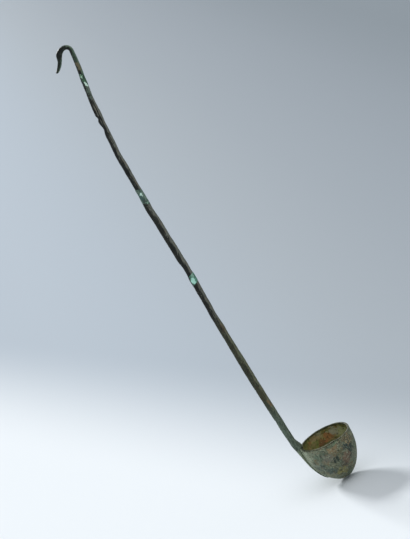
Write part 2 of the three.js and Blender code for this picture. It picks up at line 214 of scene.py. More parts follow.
def section_from(keys, distance):
    """Thickness and width at a distance, eased between the keys on its two sides."""
    index = 0
    while index < len(keys) - 2 and distance > keys[index + 1][0]:
        index += 1
    (low, first), (high, second) = keys[index], keys[index + 1]
    share = ease(distance, low, high)
    return tuple(a + (b - a) * share for a, b in zip(first, second))


SHAFT_KEYS = [
    (0, SHAFT_FOOT),
    (SHAFT_FULL_HEIGHT, SHAFT_FULL),
    (LOWER_FILL_START - WAIST_BELOW_FILL, SHAFT_WAIST),
    (MIDDLE_SHAFT_START + SHOULDER_ABOVE_FILL, SHAFT_SHOULDER),
    (STEM_START, SHAFT_TOP),
]
HEAD_MIDDLE = (HEAD_START + BILL_START) / 2
HOOK_KEYS = [
    (STEM_START, SHAFT_TOP),
    ((NECK_START + HEAD_START) / 2, NECK),
    ((HEAD_MIDDLE + BILL_START) / 2, HEAD),
    (BILL_START + BILL_LENGTH / 3, BILL_ROOT),
    (BILL_END, BILL_TIP),
]


def rounded_square(sides):
    """Outline of a bar: evenly spaced points of a rounded square, and the direction out of each."""
    fine = np.linspace(0, 2 * math.pi, 4001)
    out = np.sign(np.cos(fine)) * np.abs(np.cos(fine)) ** SQUARENESS
    side = np.sign(np.sin(fine)) * np.abs(np.sin(fine)) ** SQUARENESS
    walked = np.concatenate([[0], np.cumsum(np.hypot(np.diff(out), np.diff(side)))])
    wanted = np.arange(sides) / sides * walked[-1]
    points = np.stack([np.interp(wanted, walked, out), np.interp(wanted, walked, side)], 1)
    power = 2 / SQUARENESS - 1
    normals = np.sign(points) * np.abs(points) ** power
    return points, normals / np.linalg.norm(normals, axis=1, keepdims=True)


OUTLINE, OUTLINE_NORMALS = rounded_square(BAR_SIDES)
OUTLINE_ANGLES = np.arctan2(OUTLINE[:, 1], OUTLINE[:, 0])


def noise_place(point, size, seed):
    return Vector((point[0] / size + seed, point[1] / size - seed, point[2] / size + 2 * seed))


def rough(point, size, seed):
    """Smooth noise from -1 to 1 whose swells are about size across."""
    return noise.noise(noise_place(point, size, seed))


def crumbled(point, size, seed):
    """The same with finer noise on top."""
    return noise.fractal(noise_place(point, size, seed), 0.9, 2.1, 4)


def ring_at(distance, section, slant=0.0):
    """A ring of a bar: its middle, lean, section, slant, and the distance along the bar."""
    x, z, lean = place_at(distance)
    return dict(x=x, z=z, lean=lean, thick=section[0], wide=section[1], slant=slant, along=distance)


def rings_between(begin, end, slants, section_at, step=BAR_STEP):
    """Rings of a bar, with slants at its ends that die out along it."""
    fade = min(BREAK_FADE, end - begin)
    rings = []
    for distance in np.linspace(begin, end, math.ceil((end - begin) / step) + 1):
        low = max(0, 1 - (distance - begin) / fade)
        high = max(0, 1 - (end - distance) / fade)
        slant = slants[0] * low + slants[1] * high
        rings.append(ring_at(float(distance), section_at(float(distance)), slant))
    return rings


def shaft_section(distance):
    return section_from(SHAFT_KEYS, distance)


def directions(lean):
    """Away from the bowl, across the ladle, and up along the handle's line."""
    out = np.array([-math.cos(lean), 0, -math.sin(lean)])
    up = np.array([-math.sin(lean), 0, math.cos(lean)])
    return out, np.array([0, 1.0, 0]), up


def row_of(ring, relief):
    """Points round one ring, each moved out by what relief says for it."""
    out, side, up = directions(ring["lean"])
    half = np.array([ring["thick"], ring["wide"]]) / 2
    flat = OUTLINE * half
    centre = np.array([ring["x"], 0, ring["z"]])
    plain = centre + np.outer(flat[:, 0], out + ring["slant"] * up) + np.outer(flat[:, 1], side)
    push = np.array([relief(point, share, ring) for point, share in zip(plain, OUTLINE)])
    return plain + push[:, None] * (
        np.outer(OUTLINE_NORMALS[:, 0], out) + np.outer(OUTLINE_NORMALS[:, 1], side)
    )


def pin_line(fill_start, fill_end):
    """The pin's hole: the middle of its line, its lean, and half its length."""
    x, z, lean = place_at((fill_start + fill_end) / 2)
    reach = (fill_end - fill_start) / 2 + PIN_DEPTH + PIN_CLEARANCE
    return dict(middle=np.array([x, 0, z]), lean=lean, reach=reach)


# The three mends: where each begins and ends, and the slants of the breaks below and above it
MENDS = {
    "lower": (LOWER_FILL_START, MIDDLE_SHAFT_START, LOWER_BREAK_SLANTS),
    "middle": (MIDDLE_FILL_START, UPPER_SHAFT_START, MIDDLE_BREAK_SLANTS),
    "upper": (UPPER_FILL_START, STEM_START, UPPER_BREAK_SLANTS),
}
PINS = {mend: pin_line(begin, end) for mend, (begin, end, _) in MENDS.items()}


def hole_row(pin, travel=None, ring=None):
    """A circle round a pin's line, square to it at a travel, or lying in a ring's broken face."""
    out, side, up = directions(pin["lean"])
    radius = PIN_RADIUS + PIN_CLEARANCE
    circle = pin["middle"] + radius * (
        np.outer(np.cos(OUTLINE_ANGLES), out) + np.outer(np.sin(OUTLINE_ANGLES), side)
    )
    if ring is None:
        return circle + travel * up
    ring_out, _, ring_up = directions(ring["lean"])
    normal = ring_up - ring["slant"] * ring_out
    centre = np.array([ring["x"], 0, ring["z"]])
    travels = -((circle - centre) @ normal) / (up @ normal)
    return circle + np.outer(travels, up)


def broken_face(outer, hole):
    """Rows from the outline of a broken face in to the pin's hole."""
    return [outer + (hole - outer) * share for share in (0.12, 0.5, 0.85)] + [hole]


# Meshes


def add_object(name, data):
    made = bpy.data.objects.new(name, data)
    bpy.context.scene.collection.objects.link(made)
    return made


def mesh_piece(name, rows, slot_name, node, is_ring=False):
    points, faces = skin(rows, is_ring)
    place = np.clip(points + TO_ROW, LOWEST, HIGHEST)
    mesh = bpy.data.meshes.new(name)
    mesh.from_pydata((place / 1000).tolist(), [], faces)
    mesh.update()
    mesh.polygons.foreach_set("use_smooth", [True] * len(mesh.polygons))
    piece = add_object(name, mesh)
    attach(piece, "root")
    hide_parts(node)
    return piece


def face_outward(points, faces):
    """The faces, turned over if they enclose a volume below 0."""
    volume = 0.0
    for face in faces:
        first = points[face[0]]
        for second, third in zip(face[1:], face[2:]):
            volume += float(np.dot(first, np.cross(points[second], points[third])))
    return faces if volume > 0 else [face[::-1] for face in faces]


def skin(rows, is_ring):
    """Points and faces of a skin over rows of equal length. A ring's last row joins its first, and
    any other skin closes at a pole in the middle of its first and of its last row."""
    points = np.concatenate(rows)
    count = len(rows[0])
    last = len(rows) - 1
    faces = []
    for row in range(last + is_ring):
        low = row * count
        high = ((row + 1) % len(rows)) * count
        for i in range(count):
            j = (i + 1) % count
            faces.append((low + i, low + j, high + j, high + i))
    if not is_ring:
        points = np.concatenate([points, [rows[0].mean(0), rows[-1].mean(0)]])
        for i in range(count):
            j = (i + 1) % count
            faces.append((j, i, len(points) - 2))
            faces.append((last * count + i, last * count + j, len(points) - 1))
    return points, face_outward(points, faces)


# Relief of the surfaces, in millimetres. Each noise has a depth, a size and a seed, and where only
# its highest parts show, ease picks them.


def hill(value, middle, width):
    return math.exp(-((value - middle) / width) ** 2)


# Where age and hammering left the handle thicker or thinner: distance from the rim, half length,
# and the change of its outer face, away from the bowl, and of its inner face
UNEVEN = [
    (403, 5, -0.2, -0.2), (383, 6, 0.0, -0.45), (366, 20, 0.85, -0.35), (364, 7, 0.0, 0.6),
    (350.6, 4, -1.25, 0.2), (322, 9, 0.7, -0.7), (294, 7, -0.25, -0.4), (281, 6, -0.4, -0.3),
    (265, 8, 0.6, -0.7), (235, 6, -0.1, -0.2), (204, 5.5, -0.85, 0.1), (198, 3.5, -0.5, -0.2),
    (168, 5, -0.1, -0.1), (152, 7, 0.6, -0.6), (138, 6, 0.25, 0.25), (101, 12, 0.1, 0.1),
    (85, 8, 0.1, 0.1),
]
UNEVEN_TAIL = 3  # half lengths from its middle beyond which a change is nothing


def uneven(share, ring):
    """share runs from -1 at the inner face to 1 at the outer one."""
    change = 0.0
    for distance, reach, outer, inner in UNEVEN:
        if abs(ring["along"] - distance) < UNEVEN_TAIL * reach:
            amount = hill(ring["along"], distance, reach)
            change += amount * (outer * max(0.0, share[0]) + inner * max(0.0, -share[0]))
    return change


def bronze_relief(point, share, ring):
    grain = 0.07 * crumbled(point, 2.6, 3.1)
    lines = 0.07 * rough((share[0] * 4.2, share[1] * 4.2, ring["along"] / 17), 1, 7.7)
    hammer = 0.16 * rough(point, 8.5, 1.3)
    pits = -0.22 * ease(rough(point, 1.7, 5.2), 0.28, 0.6)
    knocks = -0.3 * ease(rough(point, 6.0, 9.4), 0.42, 0.7)
    return grain + lines + hammer + pits + knocks - 0.06 + uneven(share, ring)


def worn_relief(point, share, ring):
    """The hook is smoother than the shaft, with the bird's features on its far half."""
    base = 0.035 * crumbled(point, 2.2, 4.4) + 0.07 * rough(point, 6, 2.2) - 0.07
    base -= 0.08 * ease(rough(point, 1.5, 8.8), 0.3, 0.6)
    return base + bird_relief(share, ring)


BILL_ROOT_BEYOND = 1.2  # from the end of the head's bend
BILL_ROOT_DEPTH = 0.2
BILL_RIDGE = 0.14
MOUTH_DEPTH = 0.22
EYE_BEFORE = 0.4  # before the fullest place of the head
EYE_HEIGHT = 0.25  # share of the head's half thickness, outwards
EYE_FLATNESS = 1.9
EYE_SWELL = 0.26
EYE_RIM_DEPTH = 0.13


def bird_relief(share, ring):
    """Eyes with their rims, the edge of the bill, a ridge along it and the line of its mouth."""
    along = ring["along"]
    out, side = share
    bill_root = BILL_START + BILL_ROOT_BEYOND
    eye_place = (HEAD_MIDDLE + BILL_START) / 2 - EYE_BEFORE
    eye = math.hypot(along - eye_place, (out - EYE_HEIGHT) * EYE_FLATNESS) if abs(side) > 0.6 else 9
    relief = EYE_SWELL * math.exp(-(eye ** 4) * 0.9) - EYE_RIM_DEPTH * hill(eye, 1.25, 0.3)
    relief -= BILL_ROOT_DEPTH * hill(along, bill_root, 0.5) * (0.4 + 0.6 * ease(out, -0.6, 0.6))
    in_bill = ease(along, bill_root + 0.4, bill_root + 2) * ease(BILL_END - along, 0.6, 2.2)
    relief -= MOUTH_DEPTH * in_bill * hill(out, -0.15, 0.16) * ease(abs(side), 0.55, 0.9)
    relief += BILL_RIDGE * in_bill * hill(side, 0, 0.3) * ease(out, 0.4, 0.9)
    return relief


def resin_relief(point, share, ring):
    return 0.11 * rough(point, 3.6, 6.1) + 0.03 * crumbled(point, 1.4, 2.9) + uneven(share, ring)


def wobble(ring):
    """Shift of the bar's middle: a hammered bar is never quite straight."""
    along = ring["along"]
    fade = ease(along, 4, 22) * ease(STEM_START - along, -6, 14)
    sway = 0.22 * noise.noise(Vector((along / 24, 3.7, 0))) + 0.1 * noise.noise(Vector((along / 9, 8.1, 0)))
    roll = 0.28 * noise.noise(Vector((along / 30, 1.9, 5.0)))
    return fade * sway, fade * roll


def bar_rows(rings, relief):
    rows = []
    for ring in rings:
        sway, roll = wobble(ring)
        out, side, _ = directions(ring["lean"])
        rows.append(row_of(ring, relief) + out * sway + side * roll)
    return rows


# Tongue


def belly(depth):
    """How far the bowl swells towards the handle at a depth under the rim."""
    return BOWL_BELLY * math.sin(math.pi * min(max(depth / BOWL_DEPTH, 0), 1))


def tongue_ring(angle, reach, thick, wide):
    """A ring of the tongue, at an angle round the bowl's side and a reach out from its wall."""
    depth = BOWL_DEPTH * math.sin(angle)
    lean = -math.atan2(BOWL_RADIUS * math.sin(angle), BOWL_DEPTH * math.cos(angle))
    return dict(
        x=-(BOWL_RADIUS * math.cos(angle) + belly(depth) + reach * math.cos(lean)),
        z=-depth + reach * math.sin(lean),
        lean=lean, thick=thick, wide=wide, slant=0.0, along=-depth,
    )


TONGUE_TIP = math.radians(TONGUE_ANGLE)
WALL_PER_RADIAN = math.hypot(BOWL_RADIUS * math.sin(TONGUE_TIP), BOWL_DEPTH * math.cos(TONGUE_TIP))


def tongue_size(angle):
    """Thickness and width of the tongue at an angle round the bowl's side."""
    share = math.sqrt(max(0.0, 1 - angle / TONGUE_TIP))
    thick = TONGUE_TIP_THICKNESS + (TONGUE_THICKNESS - TONGUE_TIP_THICKNESS) * share
    root = max(0.0, 1 - math.degrees(angle) / TONGUE_ROOT_ANGLE) ** 2
    thick += root * (TONGUE_ROOT_THICKNESS - TONGUE_THICKNESS)
    wide = TONGUE_TIP_WIDTH + (TONGUE_WIDTH - TONGUE_TIP_WIDTH) * share
    return thick, wide


def tongue_rings():
    rings = []
    for i in range(TONGUE_STEPS + 1):
        angle = TONGUE_TIP * (1 - i / TONGUE_STEPS)
        thick, wide = tongue_size(angle)
        tip = min(1, (TONGUE_TIP - angle) * WALL_PER_RADIAN / TONGUE_TIP_ROUNDING)
        close = TONGUE_TIP_BLUNT + (1 - TONGUE_TIP_BLUNT) * math.sqrt(1 - (1 - tip) ** 2)
        rings.append(tongue_ring(angle, SEAT + thick / 2, thick * (0.5 + 0.5 * close), wide * close))
    return rings


def foot_ring(distance):
    x, z, lean = place_at(distance)
    thick, wide = shaft_section(distance)
    worn = 1 - HEEL_WEAR * max(0.0, 1 - distance / HEEL_STRAIGHT) ** 2
    inward = HEEL_REACH * worn * (1 - ease(distance, HEEL_STRAIGHT, HEEL_HEIGHT))
    slope = max(0.0, 1 - distance / FOOT_SLOPE_HEIGHT) ** 2
    cut_back = slope * (SHAFT_FOOT[0] - SEAT - TONGUE_ROOT_THICKNESS)
    shift = (inward + cut_back) / 2
    return dict(
        x=x + shift * math.cos(lean), z=z + shift * math.sin(lean), lean=lean,
        thick=thick + inward - cut_back, wide=wide, slant=0.0, along=distance,
    )


def foot_rings():
    heights = np.linspace(0, 1, FOOT_STEPS + 1)[:-1] ** 1.4 * (HEEL_HEIGHT - HEEL_GAP) + HEEL_GAP
    return [foot_ring(float(height)) for height in heights]


# Pieces of the handle


def nick_relief(point, share, ring):
    place = UPPER_FILL_START - NICK_BELOW_FILL
    gap = abs(ring["along"] - place)
    depth = 0.0
    if gap < NICK_RADIUS:
        depth = NICK_DEPTH - (NICK_RADIUS - math.sqrt(NICK_RADIUS ** 2 - gap ** 2))
    cut = max(0.0, depth) * ease(share[0], 0.15, 0.85)
    return bronze_relief(point, share, ring) - cut


def shaft_piece(node, mend_below, mend_above, relief):
    begin, end = MENDS[mend_below][1], MENDS[mend_above][0]
    slants = (MENDS[mend_below][2][1], MENDS[mend_above][2][0])
    low_pin, high_pin = PINS[mend_below], PINS[mend_above]
    rings = rings_between(begin, end, slants, shaft_section)
    rows = bar_rows(rings, relief)
    low_hole = hole_row(low_pin, ring=rings[0])
    high_hole = hole_row(high_pin, ring=rings[-1])
    rows = [hole_row(low_pin, low_pin["reach"])] + broken_face(rows[0], low_hole)[::-1] + rows
    rows += broken_face(rows[-1], high_hole) + [hole_row(high_pin, -high_pin["reach"])]
    return mesh_piece("ladle_" + node, rows, "shaft_bronze", node)


def lower_shaft_piece():
    shaft = rings_between(HEEL_HEIGHT, LOWER_FILL_START, (0, LOWER_BREAK_SLANTS[0]), shaft_section)
    rings = tongue_rings() + foot_rings() + shaft
    rows = bar_rows(rings, bronze_relief)
    pin = PINS["lower"]
    rows += broken_face(rows[-1], hole_row(pin, ring=rings[-1])) + [hole_row(pin, -pin["reach"])]
    return mesh_piece("ladle_lower_shaft", rows, "lower_bronze", "lower_shaft")


def fill_piece(node, mend, slot_name):
    begin, end, slants = MENDS[mend]

    def swollen(distance):
        thick, wide = shaft_section(distance)
        swell = FILL_SWELL * math.sin(math.pi * (distance - begin) / (end - begin))
        return thick + swell, wide + swell

    def relief(point, share, ring):
        middle = math.sin(math.pi * (ring["along"] - begin) / (end - begin))
        edge = 1 - ease(middle, 0, 0.35)
        return resin_relief(point, share, ring) * (1 - edge) + bronze_relief(point, share, ring) * edge

    rings = rings_between(begin, end, slants, swollen, FILL_STEP)
    rows = bar_rows(rings, relief)
    low_hole, high_hole = [hole_row(PINS[mend], ring=ring) for ring in (rings[0], rings[-1])]
    rows += broken_face(rows[-1], high_hole) + broken_face(rows[0], low_hole)[::-1]
    return mesh_piece("ladle_" + node, rows, slot_name, node, is_ring=True)


def hook_piece():
    def section_at(distance):
        return section_from(HOOK_KEYS, distance)

    rings = rings_between(STEM_START, NECK_START, (UPPER_BREAK_SLANTS[1], 0), section_at, STEM_STEP)
    for begin, end in ((NECK_START, HEAD_START), (HEAD_START, BILL_START)):
        rings += rings_between(begin, end, (0, 0), section_at, BEND_STEP)[1:]
    for i in range(1, BILL_STEPS + 1):
        distance = BILL_START + BILL_LENGTH * math.sin(i / BILL_STEPS * math.pi / 2) * BILL_DRAWN
        left = min(1, (BILL_END - distance) / BILL_TIP_ROUNDING)
        close = math.sqrt(1 - (1 - left) ** 2)
        thick, wide = section_at(distance)
        rings.append(ring_at(distance, (thick * close, wide * close)))
    rows = bar_rows(rings, worn_relief)
    pin = PINS["upper"]
    low_hole = hole_row(pin, ring=rings[0])
    rows = [hole_row(pin, pin["reach"])] + broken_face(rows[0], low_hole)[::-1] + rows
    return mesh_piece("ladle_hook", rows, "hook_bronze", "bird_head_hook")


# Bowl

RIM_FADE = 9  # depth over which the waves and bends of the rim die out
BOWL_SINK = 0.16  # how far the outer skin lies inside the solid, for its relief

# Height of the rim's edge by angle from +X towards +Y
RIM_WAVE = [
    (-180, -0.1), (-145, -0.1), (-112, -0.1), (-97, 0.1), (-84, 0.55), (-73, 0.85), (-58, 0.05),
    (-16, 0.0), (28, 0.5), (50, 1.0), (80, 0.9), (110, 0.8), (130, 0.5), (150, 0.5),
    (165, 0.7), (180, -0.1),
]

# How far the edge is bent in, by the same angle
RIM_BEND = [
    (-180, 0), (-100, 0), (-60, 0.6), (-20, 1.1), (12, 1.5), (40, 0.9), (75, 0.1), (100, 0), (180, 0),
]


def by_angle(keys, angle):
    """A value eased between the keys on the two sides of an angle, in degrees."""
    angle = (angle + 180) % 360 - 180
    for (low, first), (high, second) in zip(keys, keys[1:]):
        if low <= angle <= high:
            return first + (second - first) * ease(angle, low, high)
    return 0.0


def bowl_profile():
    """(radius, height) from the lowest point outside, over the rim, to the lowest point inside."""
    outside = []
    for i in range(1, BOWL_STEPS):
        angle = i / BOWL_STEPS * math.pi / 2
        outside.append((BOWL_RADIUS * math.sin(angle), -BOWL_DEPTH * math.cos(angle)))
    outside = [point for point in outside if point[1] < -LIP_ROUNDING]
    lip = []
    for i in range(LIP_STEPS + 1):
        angle = i / LIP_STEPS * math.pi / 2
        drop = LIP_ROUNDING * (1 - math.sin(angle))
        lip.append((BOWL_RADIUS - LIP_ROUNDING * (1 - math.cos(angle)), -drop))
    flat = [(BOWL_RADIUS - LIP_ROUNDING - (LIP_WIDTH - 2 * LIP_ROUNDING) * i / 4, 0) for i in (1, 2, 3)]
    inner_lip = [(2 * BOWL_RADIUS - LIP_WIDTH - radius, height) for radius, height in reversed(lip)]
    inside = []
    for i in range(BOWL_STEPS - 1, 0, -1):
        angle = i / BOWL_STEPS * math.pi / 2
        height = -(BOWL_DEPTH - BOWL_WALL) * math.cos(angle)
        thicker = (LIP_WIDTH - BOWL_WALL) * (1 - ease(-height, LIP_ROUNDING, LIP_HEIGHT + 1))
        inside.append(((BOWL_RADIUS - BOWL_WALL) * math.sin(angle) - thicker, height))
    inside = [point for point in inside if point[1] < -LIP_ROUNDING - 0.2]
    rim_row = len(outside) + len(lip) + len(flat) + 2
    return np.array(outside + lip + flat + inner_lip + inside), rim_row


def bowl_relief(point, is_inside):
    """Dents that show on both sides of the wall, and hammering, grain, pits and crust of each side."""
    seed = 11.0 if is_inside else 0.0
    dents = 0.3 * rough(point, 15, 4.2)
    hammer = 0.13 * rough(point, 5.5, 2.6 + seed)
    grain = 0.09 * crumbled(point, 2.4, 1.7 + seed)
    pits = -0.26 * ease(rough(point, 2.1, 6.6 + seed), 0.25, 0.55)
    crust = 0.22 * ease(rough(point, 7.0, 8.3 + seed), 0.12, 0.4) * (0.6 + rough(point, 1.3, 3.3))
    return hammer + grain + pits + crust + (-dents if is_inside else dents)


def bowl_piece():
    """The bowl, and for each of its faces 0 where it lies outside and 1 where it lies inside."""
    profile, rim_row = bowl_profile()
    ahead = np.roll(profile, -1, axis=0)
    behind = np.roll(profile, 1, axis=0)
    behind[0] = (0, -BOWL_DEPTH)
    ahead[-1] = (0, -(BOWL_DEPTH - BOWL_WALL))
    run = ahead - behind
    normals = np.stack([run[:, 1], -run[:, 0]], 1)
    normals /= np.linalg.norm(normals, axis=1, keepdims=True)
    angles = np.arange(BOWL_SEGMENTS) / BOWL_SEGMENTS * 2 * math.pi
    waves = [by_angle(RIM_WAVE, math.degrees(angle)) for angle in angles]
    bends = [by_angle(RIM_BEND, math.degrees(angle)) for angle in angles]
    rows = []
    for index, ((radius, height), (n_out, n_up)) in enumerate(zip(profile, normals)):
        is_inside = index >= rim_row
        depth = -height
        fade = math.exp(-(depth / RIM_FADE) ** 2)
        calm = 0.45 + 0.55 * ease(depth, 0.5, 4)
        row = []
        for angle, wave, bend in zip(angles, waves, bends):
            reach = radius - bend * fade
            point = np.array([
                reach * math.cos(angle) - belly(depth), reach * math.sin(angle), height + wave * fade,
            ])
            push = calm * bowl_relief(point, is_inside) - (0.0 if is_inside else BOWL_SINK)
            point += push * np.array([n_out * math.cos(angle), n_out * math.sin(angle), n_up])
            row.append(point)
        rows.append(np.array(row))
    piece = mesh_piece("ladle_bowl", rows, "bowl_bronze", "bowl")
    first_inside, outer_pole = rim_row * BOWL_SEGMENTS, len(piece.data.vertices) - 2
    corners = [polygon.vertices[:] for polygon in piece.data.polygons]
    return piece, [int(min(face) >= first_inside and outer_pole not in face) for face in corners]


def wall_point(depth, across, height):
    """A point on the handle's side of the bowl, at a height above its outer wall."""
    radius = BOWL_RADIUS * math.sqrt(max(1e-6, 1 - (depth / BOWL_DEPTH) ** 2))
    angle = math.pi + across / radius
    slope = BOWL_RADIUS ** 2 * depth / (BOWL_DEPTH ** 2 * radius)
    n_out, n_up = 1 / math.hypot(1, slope), -slope / math.hypot(1, slope)
    reach = radius + height * n_out
    return (reach * math.cos(angle) - belly(depth), reach * math.sin(angle), -depth + height * n_up)


def solder_piece():
    """A thin bed under the tongue that runs out over the bowl in an uneven edge."""
    rows = []
    first = SOLDER_BELOW_RIM / WALL_PER_RADIAN
    last = TONGUE_TIP + SOLDER_MARGIN / WALL_PER_RADIAN
    for i in range(SOLDER_STEPS + 1):
        down = i / SOLDER_STEPS
        angle = first + (last - first) * i / SOLDER_STEPS
        ends = ease(down, -0.01, 0.01) * ease(1 - down, 0, 0.035)
        depth = BOWL_DEPTH * math.sin(angle)
        tongue = tongue_size(angle)[1]
        tip = min(1.0, (last - angle) * WALL_PER_RADIAN / SOLDER_TIP_ROUNDING)
        close = max(0.04, math.sqrt(1 - (1 - tip) ** 2))
        top, bottom = [], []
        for j in range(SOLDER_COLUMNS + 1):
            side = 2 * j / SOLDER_COLUMNS - 1
            ragged = 0.35 * rough((depth, 9 * (side > 0), 0), 2.2, 3.0)
            half = (tongue / 2 + SOLDER_MARGIN * (0.85 + ragged)) * close
            across = side * half
            feather = 1 - abs(side) ** 4
            lumps = 1 + 0.35 * rough((depth, across, 4), 1.6, 7.0)
            thick = (SEAT + SOLDER_FILLET) * feather * ends * lumps
            top.append(wall_point(depth, across, thick))
            bottom.append(wall_point(depth, across, -SOLDER_SUNK))
        rows.append(np.array(top + bottom[::-1]))
    return mesh_piece("ladle_solder", rows, "solder", "solder_bed")


# Materials


def tone(red, green, blue):
    """A colour written as it looks on screen, 0 to 255, for a shader."""
    def linear(value):
        value = value / 255
        return value / 12.92 if value <= 0.04045 else ((value + 0.055) / 1.055) ** 2.4
    return (linear(red), linear(green), linear(blue), 1.0)


SMUDGE_EDGE = 0.06  # of a noise, over which a smudge comes in


def add_node(tree, kind, inputs, **settings):
    made = tree.nodes.new("ShaderNode" + kind)
    for key, value in settings.items():
        setattr(made, key, value)
    for key, value in inputs.items():
        if isinstance(value, bpy.types.NodeSocket):
            tree.links.new(value, made.inputs[key])
        else:
            made.inputs[key].default_value = value
    return made


class Paint:
    """One procedural material. Sizes and places are millimetres in the frame's own axes."""

    def __init__(self, name):
        self.material = bpy.data.materials.new(name)
        self.material.use_nodes = True
        self.tree = self.material.node_tree
        self.shader = self.tree.nodes["Principled BSDF"]
        coordinates = self.node("TexCoord", {})
        self.normal = coordinates.outputs["Normal"]
        self.place = self.vector("SCALE", coordinates.outputs["Object"], scale=1000)

    def node(self, kind, inputs, **settings):
        return add_node(self.tree, kind, inputs, **settings)

    def vector(self, operation, first, second=None, scale=None):
        inputs = {0: first}
        if second is not None:
            inputs[1] = second
        if scale is not None:
            inputs["Scale"] = scale
        made = self.node("VectorMath", inputs, operation=operation)
        return made.outputs["Value" if operation in ("LENGTH", "DOT_PRODUCT") else "Vector"]

    def math(self, operation, first, second):
        return self.node("Math", {0: first, 1: second}, operation=operation).outputs[0]

    def times(self, first, second):
        return self.math("MULTIPLY", first, second)

    def shaken(self, value, noise_value, reach):
        """A value moved up and down by a noise, so that a band of it has an uneven edge."""
        return self.math("ADD", value, self.times(self.math("SUBTRACT", noise_value, 0.5), reach))

    def noise_node(self, size, detail, roughness, stretch, shift):
        scaled = self.node("Mapping", {
            "Vector": self.place,
            "Location": (shift, -shift, 2 * shift),
            "Scale": tuple(1 / (size * part) for part in stretch),
        })
        return self.node("TexNoise", {
            "Vector": scaled.outputs[0], "Scale": 1.0, "Detail": detail, "Roughness": roughness,
        })

    def noise(self, size, detail, roughness, stretch=(1, 1, 1), shift=0.0):
        return self.noise_node(size, detail, roughness, stretch, shift).outputs[0]

    def band(self, value, low, high):
        """0 below low and 1 above high, or the other way round where low is the larger."""
        return self.node("MapRange", {
            "Value": value, "From Min": low, "From Max": high, "To Min": 0.0, "To Max": 1.0,
        }, interpolation_type="SMOOTHSTEP").outputs[0]

    def mix(self, amount, first, second):
        return self.node("Mix", {0: amount, 6: first, 7: second}, data_type="RGBA").outputs[2]

    def smudge(self, colour, shade, size, low, amount, shift, stretch=(1, 1, 1), where=None):
        """A shade mixed in where a noise of some size is above low, and only where a mask allows it."""
        cloud = self.noise(size, 5, 0.65, stretch, shift)
        mask = self.times(self.band(cloud, low, low + SMUDGE_EDGE), amount)
        if where is not None:
            mask = self.times(mask, where)
        return self.mix(mask, colour, tone(*shade))

    def stir(self, reach, size, shift=0.0):
        """Shifts the place about, so that the outline of every patch up to settle is ragged."""
        self.calm_place = self.place
        for part in (1.0, 0.35):
            swirl = self.noise_node(size * part, 3, 0.6, (1, 1, 1), 50 + shift).outputs["Color"]
            middled = self.vector("SUBTRACT", swirl, (0.5, 0.5, 0.5))
            away = self.vector("SCALE", middled, scale=2 * reach * part)
            self.place = self.vector("ADD", self.place, away)

    def settle(self):
        self.place = self.calm_place

    def patch(self, centre, radii, edge=0.25):
        """1 inside a blob and 0 outside, with a soft edge."""
        inner = self.vector("DIVIDE", self.vector("SUBTRACT", self.place, tuple(centre)), tuple(radii))
        return self.band(self.vector("LENGTH", inner), 1 + edge, 1 - edge)

    def mark(self, colour, centre, radii, shade, amount):
        return self.mix(self.times(self.patch(centre, radii), amount), colour, tone(*shade))

    def patches(self, colour, blobs, stir_reach, stir_size):
        """blobs are (middle from the middle of the rim, radii, shade, amount)."""
        self.stir(stir_reach, stir_size)
        for centre, radii, shade, amount in blobs:
            colour = self.mark(colour, rim_place(*centre), radii, shade, amount)
        self.settle()
        return colour

    def height(self):
        return self.node("SeparateXYZ", {0: self.place}).outputs["Z"]

    def finish(self, colour, roughness, bumps, metallic=0.0, specular=0.5):
        """roughness is (noise, at 0, at 1), and bumps are (height, depth in millimetres) pairs."""
        self.tree.links.new(colour, self.shader.inputs["Base Color"])
        amount, low, high = roughness
        ranged = self.node("MapRange", {"Value": amount, "To Min": low, "To Max": high}).outputs[0]
        self.tree.links.new(ranged, self.shader.inputs["Roughness"])
        self.shader.inputs["Metallic"].default_value = metallic
        self.shader.inputs["Specular IOR Level"].default_value = specular
        normal = None
        for height, depth in bumps:
            inputs = {"Strength": 1.0, "Distance": depth / 1000, "Height": height}
            if normal is not None:
                inputs["Normal"] = normal
            normal = self.node("Bump", inputs).outputs[0]
        self.tree.links.new(normal, self.shader.inputs["Normal"])
        return self.material


def rim_place(x, y, z):
    """A place given from the middle of the rim, in the frame's axes."""
    return tuple(np.array([x, y, z]) + TO_ROW)
